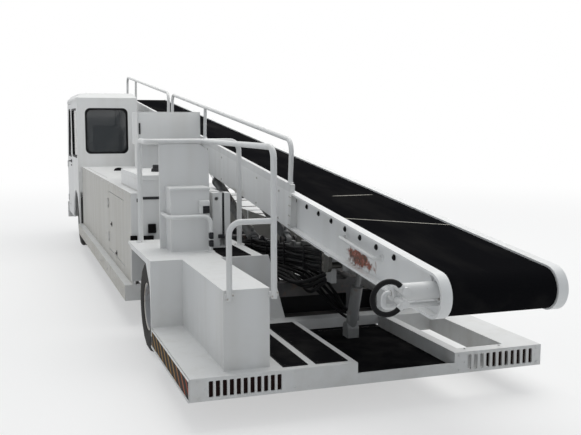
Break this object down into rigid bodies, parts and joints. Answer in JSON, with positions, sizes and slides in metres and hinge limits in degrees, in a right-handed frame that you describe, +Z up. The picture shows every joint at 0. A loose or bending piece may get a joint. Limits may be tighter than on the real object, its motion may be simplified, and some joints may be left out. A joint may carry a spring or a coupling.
{
  "type": "self-propelled baggage belt loader",
  "caption": "Low airport belt loader: offset cab, engine housing, rear control platform and a long tilting conveyor boom with handrails; wheels roll and steer.",
  "frame": {"origin": "on the ground, at the middle of the whole machine's box", "axes": "+Z up, +Y forward along the machine towards the cab, +X to its right"},
  "size_m": [2.2, 10.2715, 2.3796],
  "materials": {
    "white_paint": "gloss, aged",
    "chassis_black": "satin",
    "grey_steel": "satin",
    "rim_grey": "satin",
    "bare_steel": "worn",
    "rod_chrome": "polished",
    "tyre_black": "matt",
    "rubber_black": "matt",
    "belt_black": "matt",
    "mat_black": "gritty",
    "hazard_sheet": "worn",
    "lamp_red": "gloss",
    "lamp_clear": "gloss",
    "tinted_glass": "clear",
    "seat_vinyl": "matt",
    "dash_plastic": "matt",
    "engine_iron": "dull"
  },
  "bodies": {
    "chassis": {"chassis_frame": "chassis_black", "rear_deck": "white_paint", "deck_mats": "mat_black", "hazard_board": "hazard_sheet", "rear_lamps": "lamp_red", "rear_fenders": "white_paint", "step_box": "white_paint", "console": "white_paint", "switch_box": "grey_steel", "station_rails": "white_paint", "side_sills": "white_paint", "engine_housing": "white_paint", "engine_block": "engine_iron", "locker": "white_paint", "side_tanks": "white_paint", "front_fender": "white_paint", "cab_back": "white_paint", "cab_sides": "white_paint", "cab_roof": "white_paint", "cab_front": "white_paint", "cab_floor": "white_paint", "cab_seals": "rubber_black", "cab_glass": "tinted_glass", "seat_base": "dash_plastic", "seat_pads": "seat_vinyl", "dash": "dash_plastic", "steering_wheel": "dash_plastic", "front_bumper": "white_paint", "headlamps": "lamp_clear", "rear_axle": "chassis_black", "front_axle": "chassis_black", "springs": "chassis_black", "rear_arms": "grey_steel", "boom_rest": "grey_steel", "rest_pads": "rubber_black"},
    "lid": {"engine_lid": "white_paint"},
    "side_door": {"engine_door": "white_paint"},
    "door": {"cab_door": "white_paint", "door_seal": "rubber_black", "door_glass": "tinted_glass"},
    "knuckle_l": {"knuckle_left": "chassis_black"},
    "knuckle_r": {"knuckle_right": "chassis_black"},
    "wheel_rl": {"tyre_rl": "tyre_black", "rim_rl": "rim_grey"},
    "wheel_rr": {"tyre_rr": "tyre_black", "rim_rr": "rim_grey"},
    "wheel_fl": {"tyre_fl": "tyre_black", "rim_fl": "rim_grey"},
    "wheel_fr": {"tyre_fr": "tyre_black", "rim_fr": "rim_grey"},
    "barrels": {"lift_barrels": "grey_steel"},
    "rods": {"lift_rods": "rod_chrome"},
    "boom": {"boom_frame": "white_paint", "boom_guard": "white_paint", "rollers": "bare_steel", "belt": "belt_black", "boom_rails": "white_paint", "drive_motor": "white_paint", "hose_loop": "rubber_black"}
  },
  "joints": [
    {"name": "boom_pitch", "type": "hinge", "parent": "chassis", "child": "boom", "pos_m": [0.195, -3.70592, 0.78136], "axis": [1, 0, 0], "range_deg": [0, 12]},
    {"name": "barrel_swing", "type": "hinge", "parent": "chassis", "child": "barrels", "pos_m": [0.195, -1.56041, 0.64], "axis": [1, 0, 0], "range_deg": [-1, 24.45]},
    {"name": "rod_slide", "type": "slide", "parent": "barrels", "child": "rods", "axis": [0, 0.9538, 0.3004], "range_m": [-0.005, 0.256]},
    {"name": "steer_left", "type": "hinge", "parent": "chassis", "child": "knuckle_l", "pos_m": [-0.77, 3.15959, 0.33], "axis": [0, 0, 1], "range_deg": [-30, 30]},
    {"name": "steer_right", "type": "hinge", "parent": "chassis", "child": "knuckle_r", "pos_m": [0.77, 3.15959, 0.33], "axis": [0, 0, 1], "range_deg": [-30.5, 30.5]},
    {"name": "spin_front_left", "type": "hinge", "parent": "knuckle_l", "child": "wheel_fl", "pos_m": [-0.955, 3.15959, 0.33], "axis": [1, 0, 0], "continuous": true},
    {"name": "spin_front_right", "type": "hinge", "parent": "knuckle_r", "child": "wheel_fr", "pos_m": [0.955, 3.15959, 0.33], "axis": [1, 0, 0], "continuous": true},
    {"name": "spin_rear_left", "type": "hinge", "parent": "chassis", "child": "wheel_rl", "pos_m": [-0.955, -2.46041, 0.33], "axis": [1, 0, 0], "continuous": true},
    {"name": "spin_rear_right", "type": "hinge", "parent": "chassis", "child": "wheel_rr", "pos_m": [0.955, -2.46041, 0.33], "axis": [1, 0, 0], "continuous": true},
    {"name": "cab_door_swing", "type": "hinge", "parent": "chassis", "child": "door", "pos_m": [-1.094, 4.43959, 0.81], "axis": [0, 0, -1], "range_deg": [0, 75]},
    {"name": "lid_swing", "type": "hinge", "parent": "chassis", "child": "lid", "pos_m": [-0.37, 1.38959, 1.1], "axis": [0, 1, 0], "range_deg": [0, 75]},
    {"name": "side_door_swing", "type": "hinge", "parent": "chassis", "child": "side_door", "pos_m": [-1.045, -0.16041, 0.715], "axis": [0, 0, -1], "range_deg": [0, 110]}
  ],
  "couplings": [
    {"joint": "steer_right", "follows": "steer_left", "ratio": 1},
    {"joint": "barrel_swing", "follows": "boom_pitch", "ratio": 1.9545},
    {"joint": "rod_slide", "follows": "boom_pitch", "m_per_rad": 1.1741}
  ]
}
